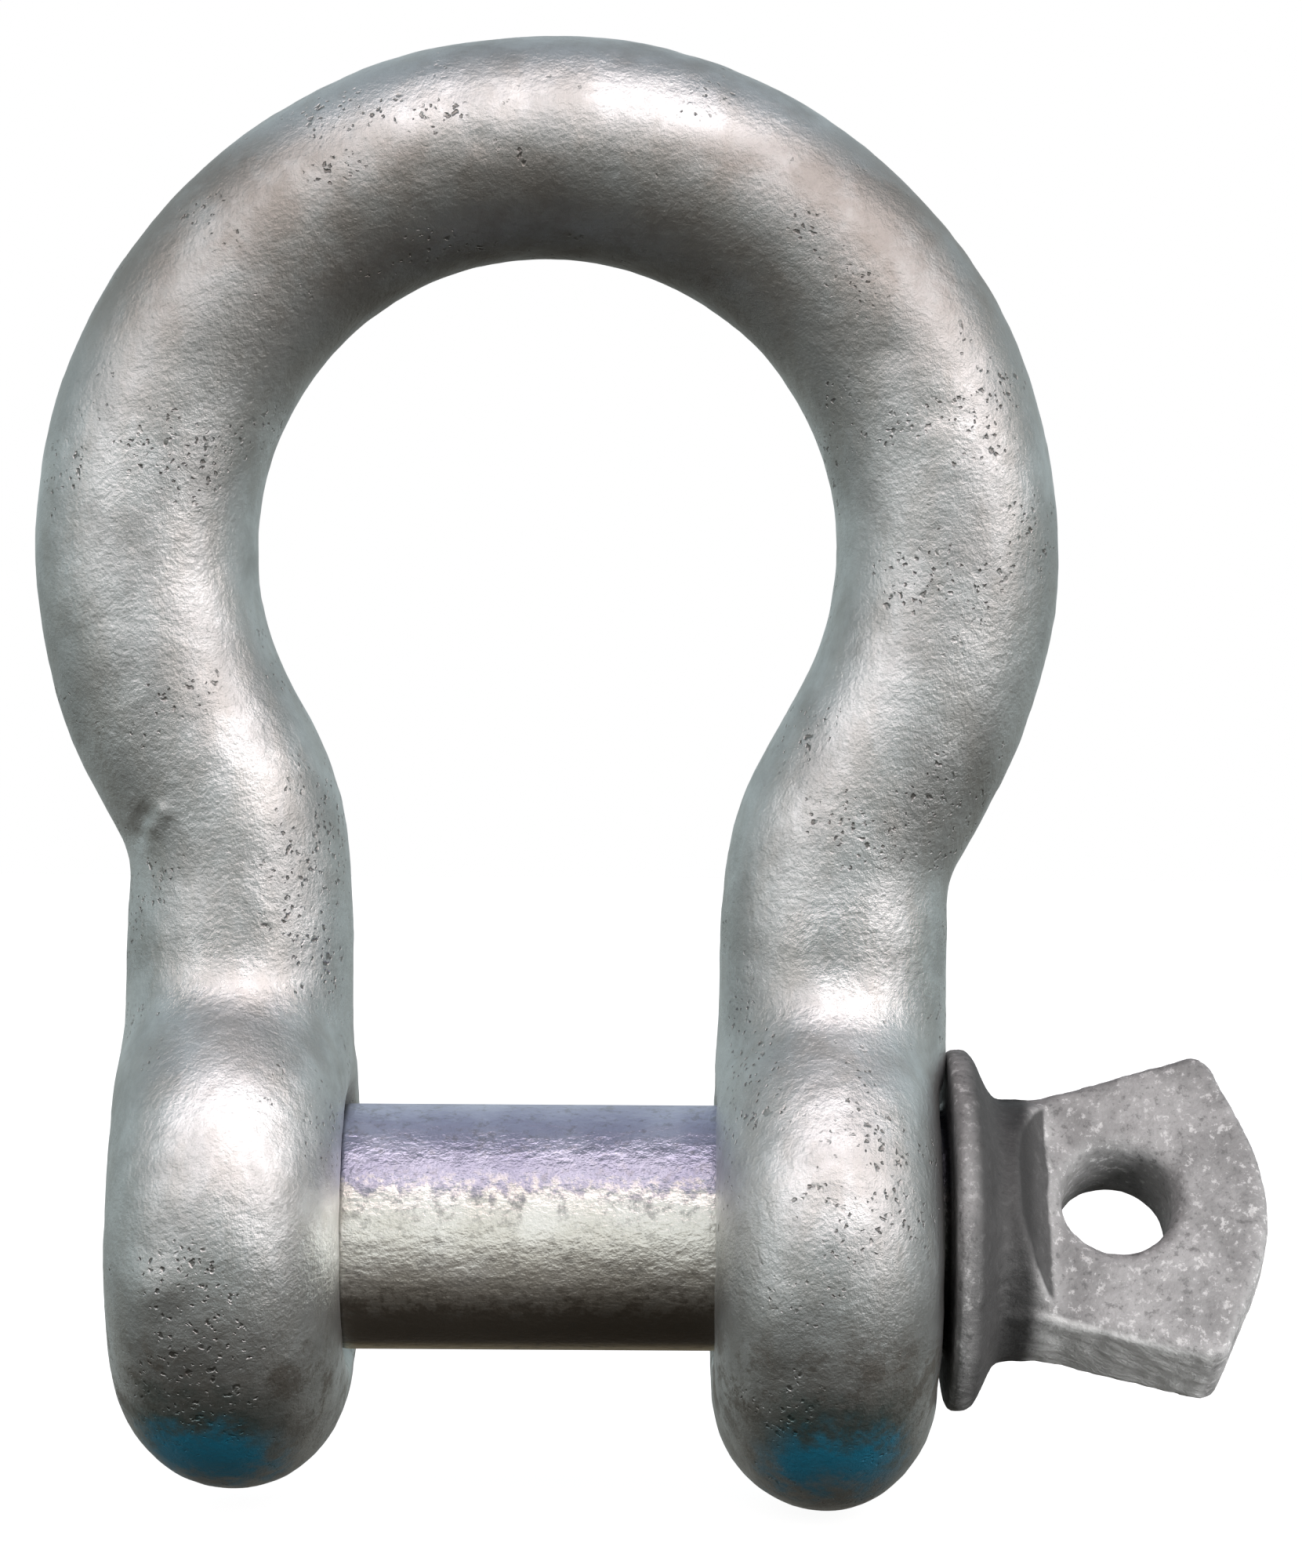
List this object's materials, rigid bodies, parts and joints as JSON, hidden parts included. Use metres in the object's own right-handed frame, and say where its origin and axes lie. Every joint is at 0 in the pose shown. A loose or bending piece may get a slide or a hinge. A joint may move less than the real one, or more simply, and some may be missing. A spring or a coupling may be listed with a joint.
{
  "type": "bow shackle",
  "caption": "Forged bow shackle with a screw pin: a round bow on two eyes, closed by a threaded pin with a collar and a flat tab that has an eye.",
  "frame": {"origin": "on the pin's axis, half-way along its span between the two eyes", "axes": "+X along the pin towards its head, +Z from the pin to the crown of the bow, +Y to the back"},
  "size_m": [0.14, 0.0592, 0.1672],
  "materials": {
    "bow": "hot-dip galvanised forging, dull grey with a soft sheen",
    "pin": "hot-dip galvanised forging, matt and grainy head, smoother shank"
  },
  "bodies": {
    "bow": {"bow": "bow"},
    "pin": {"pin": "pin"}
  },
  "joints": [
    {"name": "pin_withdraw", "type": "slide", "parent": "bow", "child": "pin", "axis": [1, 0, 0], "range_m": [0, 0.1]}
  ]
}
